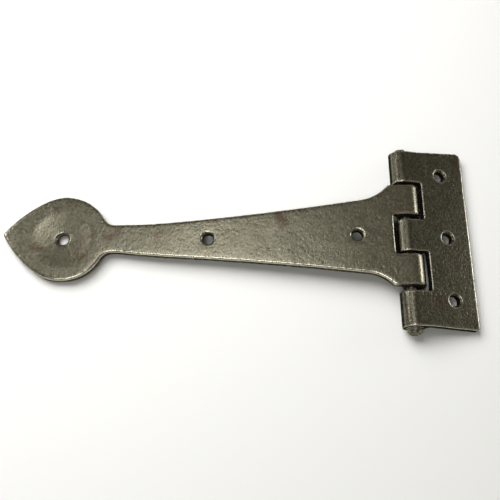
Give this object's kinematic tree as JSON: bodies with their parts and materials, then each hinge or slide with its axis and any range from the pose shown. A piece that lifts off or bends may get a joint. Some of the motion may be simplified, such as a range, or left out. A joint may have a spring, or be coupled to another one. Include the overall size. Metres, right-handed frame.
{
  "type": "strap hinge",
  "caption": "Long tapering strap leaf with a dished spade-shaped tip, joined by a riveted pin through interleaved knuckles to a short upright frame plate; three screw holes in each leaf.",
  "frame": {"origin": "middle of the hinge pin, on its axis", "axes": "+Y along the pin, +X from the pin to the frame plate, -X along the strap to its tip, +Z out of the front faces; the hinge lies face up on a flat surface at Z -7.75 mm"},
  "size_m": [0.3085, 0.1298, 0.0156],
  "materials": {
    "strap_iron": "burnished pewter patina over cast iron, brighter along the middle of the strap",
    "plate_iron": "burnished pewter patina over cast iron, dark",
    "pin_steel": "mild steel with hammered ends and the same patina"
  },
  "bodies": {
    "frame_plate_and_pin": {"frame_plate": "plate_iron", "hinge_pin": "pin_steel"},
    "strap": {"strap_leaf": "strap_iron"}
  },
  "joints": [
    {"name": "strap_swing", "type": "hinge", "parent": "frame_plate_and_pin", "child": "strap", "pos_m": [0, 0, 0], "axis": [0, 1, 0], "range_deg": [-163, 113]}
  ]
}
